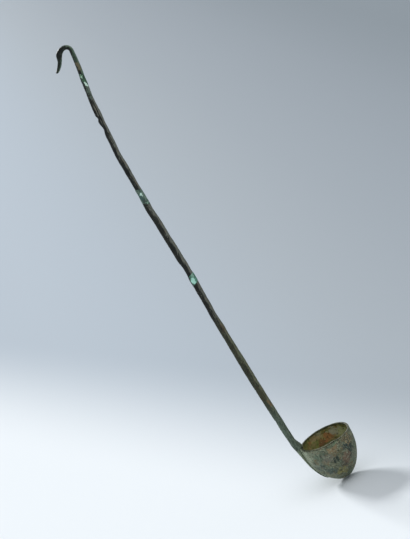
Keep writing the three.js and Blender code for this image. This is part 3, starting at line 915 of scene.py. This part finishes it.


# Patches of the bowl's patina, and one of painted shade: middle from the middle of the rim, radii,
# shade and strength

OUTSIDE_PATCHES = [
    ((-23, -9, -8), (6, 9, 9), (166, 177, 152), 0.85),
    ((-14, -21, -16), (2.4, 9, 4), (92, 106, 94), 0.6),
    ((-15, -20, -5), (6, 9, 3.5), (131, 142, 120), 0.7),
    ((-12, -22, -9), (4, 9, 4), (90, 111, 93), 0.6),
    ((-18.5, -14, -18), (3, 9, 2.2), (140, 147, 131), 0.7),
    ((-14, -17.6, -21), (5, 9, 5), (90, 102, 93), 0.7),
    ((-4, -24, -13), (6, 9, 5), (113, 111, 99), 0.7),
    ((-6.5, -19, -27), (5, 9, 4), (68, 84, 79), 0.75),
    ((2, -23.3, -17.5), (2.2, 9, 3.4), (38, 50, 45), 0.9),
    ((4, -25, -7), (6, 9, 3.5), (140, 118, 86), 0.8),
    ((8, -24.3, -1.6), (4.5, 9, 1.8), (97, 124, 93), 0.7),
    ((10.5, -23, -7.5), (4, 9, 3), (99, 106, 88), 0.5),
    ((8.5, -23, -12), (4, 9, 3.5), (88, 86, 61), 0.7),
    ((17, -18, -3.5), (5, 9, 3.5), (104, 95, 70), 0.6),
    ((20.6, -14.2, -8.4), (3, 9, 4), (90, 88, 68), 0.6),
    ((15.2, -19.5, -10.7), (3.2, 9, 2.6), (47, 75, 75), 0.9),
    ((17.5, -16.5, -15), (3.3, 9, 5), (36, 50, 47), 0.9),
    ((11.5, -19.3, -20), (5, 9, 5.5), (116, 92, 76), 0.8),
    ((6.5, -20, -24.5), (3.5, 9, 3), (68, 59, 56), 0.7),
    ((3, -17.5, -31.5), (6, 9, 4.5), (130, 124, 74), 0.85),
    ((8, -15, -33), (4, 9, 3.5), (102, 104, 90), 0.5),
    ((-0.7, -21, -25), (4, 9, 3), (90, 97, 81), 0.5),
    ((17, -11, -26), (4, 9, 9), (104, 113, 99), 0.6),
    ((-5, -14.5, -36), (8, 9, 2.5), (113, 120, 108), 0.5),
]

INSIDE_PATCHES = [
    ((-13.6, 20.8, -9.5), (5, 9, 5), (118, 126, 67), 0.8),
    ((-12.6, 22, -3.3), (6, 9, 3.2), (166, 146, 106), 0.85),
    ((-7.4, 24.4, -1.2), (3, 7, 2), (157, 162, 134), 0.7),
    ((-7.6, 23.4, -11.3), (4.2, 9, 4.2), (122, 74, 54), 0.75),
    ((-0.5, 24.9, -9.7), (5.6, 9, 4), (160, 108, 68), 0.8),
    ((-2.5, 25, -6.2), (4, 9, 2.6), (165, 112, 70), 0.7),
    ((4, 23.8, -14.3), (5, 9, 4), (129, 115, 78), 0.6),
    ((10, 23.2, -6), (8, 9, 5), (168, 166, 142), 0.9),
    ((15.9, 19.3, -8.4), (6.5, 9, 5.5), (172, 178, 132), 0.9),
    ((-19.4, 15.3, -10.5), (5, 9, 4), (137, 120, 84), 0.6),
    # Painted shade: darker deep inside, under the near rim where the near wall shades it
    ((-5.7, 23.3, -16), (7, 9, 3), (84, 81, 50), 0.6),
]


def lip_over(p, colour, mid, low, high):
    """The rim's edge, darker and mottled, above a height taken from the rim."""
    edge = p.shaken(p.height(), mid, 5)
    mottle = p.band(p.noise(2.6, 5, 0.7, shift=83), 0.42, 0.58)
    worn = p.patch(rim_place(19, -15, 0), (13, 12, 6), 0.5)
    light = p.mix(worn, tone(84, 86, 60), tone(96, 95, 70))
    shade = p.mix(mottle, p.mix(worn, tone(34, 38, 26), tone(40, 44, 32)), light)
    return p.mix(p.times(p.band(edge, TO_ROW[2] + low, TO_ROW[2] + high), 0.92), colour, shade)


def paint_bowl_outside():
    p = Paint("bowl_outside")
    mid = p.noise(2.4, 6, 0.7, shift=7)
    fine = p.noise(0.9, 5, 0.65, shift=11)
    colour = p.mix(p.band(p.noise(8, 5, 0.6, shift=3), 0.4, 0.6), tone(93, 104, 84), tone(115, 118, 95))
    colour = p.smudge(colour, (127, 106, 79), 6, 0.56, 0.7, 31)
    colour = p.smudge(colour, (66, 88, 84), 5, 0.6, 0.75, 43)
    colour = p.patches(colour, OUTSIDE_PATCHES, 7, 5)
    colour = p.smudge(colour, (50, 56, 48), 2.4, 0.53, 0.7, 23)
    colour = p.smudge(colour, (156, 162, 138), 1.7, 0.55, 0.65, 19)
    colour = p.smudge(colour, (127, 104, 77), 2.9, 0.58, 0.5, 37)
    colour = p.smudge(colour, (59, 81, 79), 2.1, 0.6, 0.5, 29)
    speckled = p.patch(rim_place(17, -18, -5), (8, 12, 7), 0.4)
    colour = p.smudge(colour, (201, 172, 122), 1.2, 0.56, 0.9, 61, where=speckled)
    colour = p.smudge(colour, (41, 43, 36), 1.4, 0.55, 0.8, 67, where=speckled)
    colour = p.smudge(colour, (174, 169, 140), 0.9, 0.62, 0.6, 71)
    colour = lip_over(p, colour, mid, -1.3, -0.4)
    return p.finish(colour, (mid, 0.55, 0.9), [(fine, 0.3), (mid, 0.6)], metallic=0.1, specular=0.25)


def paint_bowl_inside():
    p = Paint("bowl_inside")
    mid = p.noise(2.4, 6, 0.7, shift=9)
    fine = p.noise(0.9, 5, 0.65, shift=13)
    colour = p.mix(p.band(p.noise(8, 5, 0.6, shift=5), 0.4, 0.6), tone(109, 112, 64), tone(140, 140, 84))
    colour = p.smudge(colour, (165, 106, 67), 6, 0.58, 0.6, 27)
    colour = p.patches(colour, INSIDE_PATCHES, 7, 5)
    colour = p.smudge(colour, (62, 64, 39), 2.2, 0.56, 0.75, 17)
    colour = p.smudge(colour, (179, 134, 81), 2.0, 0.59, 0.6, 33)
    colour = p.smudge(colour, (188, 188, 129), 1.4, 0.6, 0.6, 39)
    colour = lip_over(p, colour, mid, -1.6, -0.5)
    return p.finish(colour, (mid, 0.6, 0.9), [(fine, 0.25), (mid, 0.5)], metallic=0.1, specular=0.25)


# Heights in the frame between which the lower shaft turns green, and grey
GREEN_FOOT = (-398, -372)
GREY_TOP = (-304, -276)
TOWARDS_BOWL = (0.96, -0.2, 0.1)  # a direction: the side of the handle facing it gets a painted highlight, as if lit from there


def paint_solder():
    p = Paint("solder_bed")
    mid = p.noise(2.2, 5, 0.65, shift=4)
    fine = p.noise(0.9, 4, 0.6, shift=8)
    colour = p.mix(p.band(mid, 0.38, 0.62), tone(128, 138, 117), tone(156, 165, 141))
    colour = p.smudge(colour, (64, 70, 58), 1.5, 0.56, 0.8, 15)
    return p.finish(colour, (mid, 0.55, 0.8), [(fine, 0.15), (mid, 0.2)], metallic=0.2, specular=0.3)


def paint_foot(p, colour, mid, seed):
    """Green towards the rim, with pale and dark specks."""
    low, high = GREEN_FOOT
    green = p.mix(p.band(mid, 0.4, 0.62), tone(69, 83, 71), tone(106, 120, 106))
    colour = p.mix(p.times(p.band(p.shaken(p.height(), mid, 30), high, low), 0.8), colour, green)
    colour = p.smudge(colour, (138, 144, 122), 1.1, 0.61, 0.5, seed + 43, stretch=(1, 1, 1.5))
    return p.smudge(colour, (30, 33, 26), 1.6, 0.6, 0.55, seed + 47, stretch=(1, 1, 3))


def paint_tongue(p, colour, mid, seed):
    """Pale and mottled, as the solder beside it."""
    tongue = p.patch(rim_place(-25.5, 0, -15.6), (14, 12, 15.2))
    pale = p.mix(p.band(mid, 0.4, 0.62), tone(124, 136, 114), tone(154, 165, 141))
    colour = p.mix(p.times(tongue, 0.92), colour, pale)
    colour = p.smudge(colour, (60, 68, 56), 1.5, 0.54, 0.7, seed + 31, where=tongue)
    return p.smudge(colour, (118, 104, 80), 2.4, 0.57, 0.5, seed + 37, where=tongue)


def paint_bronze(name, dark, middle, lit_side_tone, stain, flecks, roughness, seed, marks, has_foot=False):
    """Patina with lengthwise grain, and a painted highlight on the side facing the bowl, as if lit there.
    With a foot it turns green towards the rim, pale on the tongue and grey towards the lower fill."""
    p = Paint(name)
    grain = p.noise(0.9, 4, 0.6, stretch=(1, 1, 7), shift=seed)
    mid = p.noise(1.8, 5, 0.65, stretch=(1, 1, 2), shift=seed + 5)
    fine = p.noise(0.7, 4, 0.6, shift=seed + 9)
    broad = p.noise(6, 4, 0.6, stretch=(1, 1, 2), shift=seed + 2)
    colour = p.mix(p.band(broad, 0.4, 0.6), tone(*dark), tone(*middle))
    colour = p.smudge(colour, stain, 2.6, 0.55, 0.7, seed + 17, stretch=(1, 1, 2.4))
    # light is the tone of the painted highlight, made greyer towards the lower fill on the lower shaft
    light = tone(*lit_side_tone)
    if has_foot:
        grey = p.band(p.shaken(p.height(), mid, 60), *GREY_TOP)
        colour = p.mix(grey, colour, p.mix(p.band(broad, 0.4, 0.6), tone(17, 20, 17), tone(38, 40, 34)))
        light = p.mix(grey, light, tone(106, 108, 99))
    # Painted highlight: where the surface faces TOWARDS_BOWL it turns to the light tone, as if lit from
    # that side. The mask named worn is this painted highlight, not wear, and the pale flecks are kept
    # inside it.
    facing = p.vector("DOT_PRODUCT", p.normal, TOWARDS_BOWL)
    worn = p.band(p.shaken(facing, grain, 1.25), 0.28, 0.64)
    colour = p.mix(p.times(worn, 0.85), colour, light)
    colour = p.smudge(colour, flecks, 1.5, 0.54, 0.65, seed + 14, stretch=(1, 1, 3), where=worn)
    if has_foot:
        colour = paint_foot(p, colour, mid, seed)
    p.stir(5, 3.5, seed)
    for mark in marks:
        colour = p.mark(colour, *mark)
    if has_foot:
        colour = paint_tongue(p, colour, mid, seed)
    p.settle()
    colour = p.mix(p.times(p.band(grain, 0.42, 0.34), 0.6), colour, tone(14, 15, 12))
    return p.finish(colour, (mid, *roughness), [(grain, 0.2), (fine, 0.16)], metallic=0.1, specular=0.25)


def paint_resin(name, base, deep, pale, spots, seed):
    """Tinted resin with pale flecks, and with spots where the photograph shows them."""
    p = Paint(name)
    mid = p.noise(2.2, 4, 0.6, shift=seed)
    fine = p.noise(0.8, 4, 0.6, shift=seed + 3)
    colour = p.mix(p.band(mid, 0.4, 0.6), tone(*deep), tone(*base))
    flecks = p.band(p.noise(1.5, 2, 0.5, stretch=(1, 1, 1.4), shift=seed + 6), 0.66, 0.7)
    colour = p.mix(flecks, colour, tone(*pale))
    p.stir(2.5, 2.5, seed)
    for centre, radii, shade in spots:
        colour = p.mix(p.patch(centre, radii), colour, tone(*shade))
    p.settle()
    return p.finish(colour, (mid, 0.4, 0.65), [(fine, 0.1), (mid, 0.2)], specular=0.4)


def paint_steel():
    p = Paint("pin_steel")
    scratches = p.noise(0.25, 3, 0.6, stretch=(1, 1, 40), shift=2)
    colour = p.mix(scratches, tone(172, 176, 178), tone(204, 207, 208))
    return p.finish(colour, (scratches, 0.28, 0.45), [(scratches, 0.02)], metallic=1.0)


# Marks of the handle and its mends: place in the frame, radii, shade and, on the bronze, strength

LOWER_MARKS = [
    ((11.7, -3, -291.6), (2.2, 4, 4), (88, 72, 54), 0.5),
    ((18.2, -3, -375), (1.5, 4, 4), (116, 94, 66), 0.65),
    ((15.5, -3, -366), (3, 4, 6), (60, 58, 40), 0.5),
    ((17, -3, -406), (2, 4, 6), (100, 116, 102), 0.5),
]
# Green patina with a painted highlight, on the lit side of the upper shaft below its fill
SHAFT_MARKS = [((2.6, -2, -44), (1.8, 4, 6), (108, 124, 110), 0.6)]
HOOK_MARKS = [
    ((-5.6, -2, -1), (4, 5, 4), (6, 9, 6), 0.8),
    # Green patina with a painted highlight, on the lit side of the stem
    ((4.6, -2, -9), (2, 4, 5), (72, 92, 76), 0.5),
    ((4.2, -2, -18.5), (2.2, 4, 4.5), (112, 104, 80), 0.75),
]
LOWER_FILL_SPOTS = [
    ((3.6, -3, -240), (2.0, 6, 9), (24, 36, 32)),
    ((7.0, -3, -244.5), (2.4, 6, 1.6), (28, 50, 44)),
    ((7.4, -3, -239.5), (1.9, 6, 3.0), (172, 226, 208)),
    ((9.2, -3, -234.5), (1.2, 6, 2.2), (130, 168, 150)),
]
MIDDLE_FILL_SPOTS = [
    ((-0.4, -3, -148.5), (1.2, 5, 3.0), (56, 86, 80)),
    ((0.4, -3, -153.0), (1.5, 5, 2.6), (48, 78, 72)),
    # Pale resin with a painted highlight on it
    ((1.4, -3, -147.2), (0.7, 5, 1.9), (200, 230, 216)),
    ((1.6, -3, -154.6), (2.0, 5, 2.6), (50, 66, 58)),
    ((2.6, -3, -156.6), (0.8, 5, 1.5), (126, 158, 136)),
    ((3.4, -3, -149), (1.0, 5, 5), (104, 126, 112)),
]
UPPER_FILL_SPOTS = [
    ((0.0, -2, -33.5), (1.6, 5, 6.0), (18, 36, 32)),
    # These two pale spots: pale resin with painted highlights on it
    ((2.4, -2, -28.2), (0.55, 5, 0.9), (176, 212, 184)),
    ((2.7, -2, -36.3), (1.0, 5, 2.7), (212, 238, 220)),
]

# Build

bowl, bowl_sides = bowl_piece()
bowl.data.materials.append(paint_bowl_outside())
bowl.data.materials.append(paint_bowl_inside())
bowl.data.polygons.foreach_set("material_index", bowl_sides)

solder = solder_piece()
solder.data.materials.append(paint_solder())

# Tones of each bronze in order: dark, middle, painted highlight of the side facing the bowl, stain, flecks
lower_shaft = lower_shaft_piece()
lower_shaft.data.materials.append(paint_bronze(
    "lower_bronze", (42, 46, 34), (56, 60, 44), (101, 105, 84), (60, 50, 34), (114, 104, 80),
    (0.45, 0.75), 1, LOWER_MARKS, has_foot=True))

middle_shaft = shaft_piece("middle_shaft", "lower", "middle", bronze_relief)
upper_shaft = shaft_piece("upper_shaft", "middle", "upper", nick_relief)
shaft_bronze = paint_bronze(
    "shaft_bronze", (15, 18, 15), (29, 31, 25), (117, 119, 109), (22, 30, 27), (116, 104, 86),
    (0.42, 0.7), 21, SHAFT_MARKS)
for shaft in (middle_shaft, upper_shaft):
    shaft.data.materials.append(shaft_bronze)

hook = hook_piece()
hook.data.materials.append(paint_bronze(
    "hook_bronze", (12, 15, 11), (26, 36, 27), (102, 124, 104), (18, 30, 22), (104, 104, 82),
    (0.32, 0.55), 41, HOOK_MARKS))

FILLS = [
    ("lower_fill", "lower", "mint_fill", (
        "mint_fill", (92, 150, 126), (62, 106, 88), (190, 232, 214), LOWER_FILL_SPOTS, 2)),
    ("middle_fill", "middle", "green_fill", (
        "middle_green_fill", (92, 112, 98), (44, 72, 62), (150, 178, 162), MIDDLE_FILL_SPOTS, 12)),
    ("upper_fill", "upper", "green_fill", (
        "upper_green_fill", (66, 100, 72), (28, 52, 38), (150, 186, 158), UPPER_FILL_SPOTS, 22)),
]
for node_name, mend_name, fill_slot, looks in FILLS:
    fill_piece(node_name, mend_name, fill_slot).data.materials.append(paint_resin(*looks))

steel = paint_steel()
for node_name in ("lower_pin", "middle_pin", "upper_pin"):
    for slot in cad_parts[node_name].material_slots:
        slot.material = steel

# Camera: the photograph's angle and roll, with a long lens

LENS = 150
SENSOR = 36
CAMERA_PLACE = Vector((0.2981, -1.9691, 0.2316))
CAMERA_RIGHT = Vector((0.8949, 0.0200, -0.4459)).normalized()
CAMERA_VIEW = Vector((-0.1355, 0.9640, -0.2287)).normalized()
CAMERA_UP = CAMERA_RIGHT.cross(CAMERA_VIEW).normalized()
CAMERA_RIGHT = CAMERA_VIEW.cross(CAMERA_UP)

camera_data = bpy.data.cameras.new("camera")
camera_data.lens = LENS
camera_data.sensor_width = SENSOR
camera_data.clip_end = 100
camera = add_object("camera", camera_data)
turn = Matrix((CAMERA_RIGHT, CAMERA_UP, -CAMERA_VIEW)).transposed()
camera.matrix_world = Matrix.Translation(CAMERA_PLACE) @ turn.to_4x4()
bpy.context.scene.camera = camera

# Floor: level under the bowl, pale in front and painted in shade, blue grey, towards the back and the right

FLOOR = CAD_BOX[0][2] - 0.001
FLOOR_SIZE = 30
SIDEWAYS = Vector((CAMERA_VIEW.y, -CAMERA_VIEW.x, 0)).normalized()
AWAY = Vector((CAMERA_VIEW.x, CAMERA_VIEW.y, 0)).normalized()

# The floor's painted shade by how far it lies to the right, in metres
FLOOR_SHADES = [
    (-0.15, (174, 184, 194)),
    (0.0, (169, 179, 189)),
    (0.15, (161, 169, 176)),
    (0.3, (152, 160, 168)),
    (0.5, (140, 148, 156)),
    (0.66, (126, 135, 142)),
]
FLOOR_FRONT = (226, 231, 235)


def paint_floor():
    p = Paint("floor")

    def reach(sideways, away):
        """Metres over the floor in some direction."""
        direction = (SIDEWAYS * sideways + AWAY * away) / 1000
        return p.vector("DOT_PRODUCT", p.place, tuple(direction))

    # Painted shade: the ramp darkens the floor to the back and the right, and the band front turns it near
    # white in front.
    begin, end = FLOOR_SHADES[0][0], FLOOR_SHADES[-1][0]
    share = p.node("MapRange", {"Value": reach(1, 0.06), "From Min": begin, "From Max": end}).outputs[0]
    ramp = p.node("ValToRGB", {0: share})
    ramp.color_ramp.interpolation = "B_SPLINE"
    while len(ramp.color_ramp.elements) < len(FLOOR_SHADES):
        ramp.color_ramp.elements.new(0.5)
    for element, (place, shade) in zip(ramp.color_ramp.elements, FLOOR_SHADES):
        element.position = (place - begin) / (end - begin)
        element.color = tone(*shade)
    front = p.band(reach(2.4, 1), 0.52, -0.06)
    colour = p.mix(front, ramp.outputs[0], tone(*FLOOR_FRONT))
    p.tree.links.new(colour, p.shader.inputs["Base Color"])
    p.shader.inputs["Roughness"].default_value = 0.9
    p.shader.inputs["Specular IOR Level"].default_value = 0.1
    return p.material


floor_mesh = bpy.data.meshes.new("floor")
corners = [(-1, -1), (1, -1), (1, 1), (-1, 1)]
floor_mesh.from_pydata([(x * FLOOR_SIZE, y * FLOOR_SIZE, FLOOR) for x, y in corners], [], [(0, 1, 2, 3)])
floor_mesh.materials.append(paint_floor())
floor = add_object("floor", floor_mesh)

# Light: a lamp behind on the left, which throws the shadow to the right, a high soft lamp in
# front on the right, and an even sky

SKY_TINT = (0.92, 0.965, 1.0, 1)
SKY_STRENGTH = 0.41
BACKDROP = (186, 194, 202)


def sun(name, azimuth, elevation, strength, width):
    """A lamp that shines from an azimuth, measured from +X towards +Y, and an elevation."""
    data = bpy.data.lights.new(name, "SUN")
    data.energy = strength
    data.angle = math.radians(width)
    a, e = math.radians(azimuth), math.radians(elevation)
    towards = Vector((math.cos(a) * math.cos(e), math.sin(a) * math.cos(e), math.sin(e)))
    add_object(name, data).rotation_euler = towards.to_track_quat("Z", "Y").to_euler()


sun("lamp_back_left", 121, 27, 3.2, 12)
sun("lamp_high_front", -50, 64, 1.0, 70)

world = bpy.data.worlds.new("world")
bpy.context.scene.world = world
world.use_nodes = True
tree = world.node_tree
tree.nodes.clear()

# The backdrop is what the camera and a gloss see, and the sky is what lights the ladle
ray = add_node(tree, "LightPath", {}).outputs
is_seen = add_node(tree, "Math", {0: ray["Is Camera Ray"], 1: ray["Is Glossy Ray"]}, operation="MAXIMUM")
lit = add_node(tree, "Background", {"Color": SKY_TINT, "Strength": SKY_STRENGTH})
seen = add_node(tree, "Background", {"Color": tone(*BACKDROP), "Strength": 1.0})
mixed = add_node(tree, "MixShader", {0: is_seen.outputs[0], 1: lit.outputs[0], 2: seen.outputs[0]})
add_node(tree, "OutputWorld", {"Surface": mixed.outputs[0]})

bpy.context.scene.view_settings.view_transform = "Standard"
